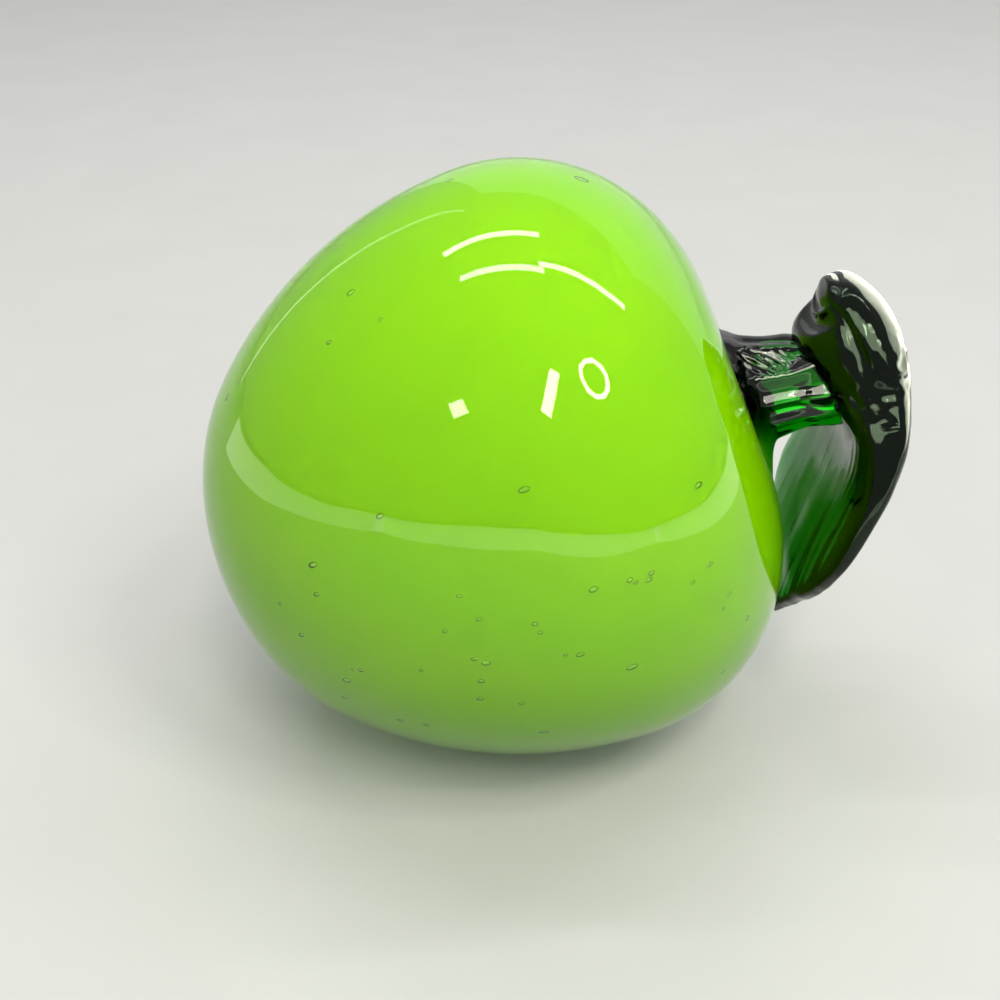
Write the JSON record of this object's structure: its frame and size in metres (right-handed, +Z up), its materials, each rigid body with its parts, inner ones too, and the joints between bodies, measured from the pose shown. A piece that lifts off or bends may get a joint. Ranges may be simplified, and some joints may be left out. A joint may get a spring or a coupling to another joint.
{
  "type": "glass apple paperweight",
  "caption": "Blown glass apple lying on its side: a lime bubble cased in clear glass, with a dark green glass stem and a broad drooping leaf.",
  "frame": {"origin": "middle of the bounding box, on the table that the apple rests on", "axes": "+X from the base towards the stem and leaf, +Y across the apple, +Z up; the apple lies on its side with its own axis in the XZ plane, 22.2 degrees above +X"},
  "size_m": [0.1168, 0.1, 0.0999],
  "materials": {
    "lime_glass": "opaque lime glass, glossy where it meets the casing",
    "clear_glass": "clear, fire polished, with a few small trapped bubbles",
    "green_glass": "dark green transparent glass, fire polished, with pulled ridges",
    "leaf_glass": "dark green transparent glass, fire polished, with streaks along the blade"
  },
  "bodies": {
    "root": {"lime_core": "lime_glass", "clear_casing": "clear_glass", "stem": "green_glass", "leaf": "leaf_glass"}
  },
  "joints": []
}
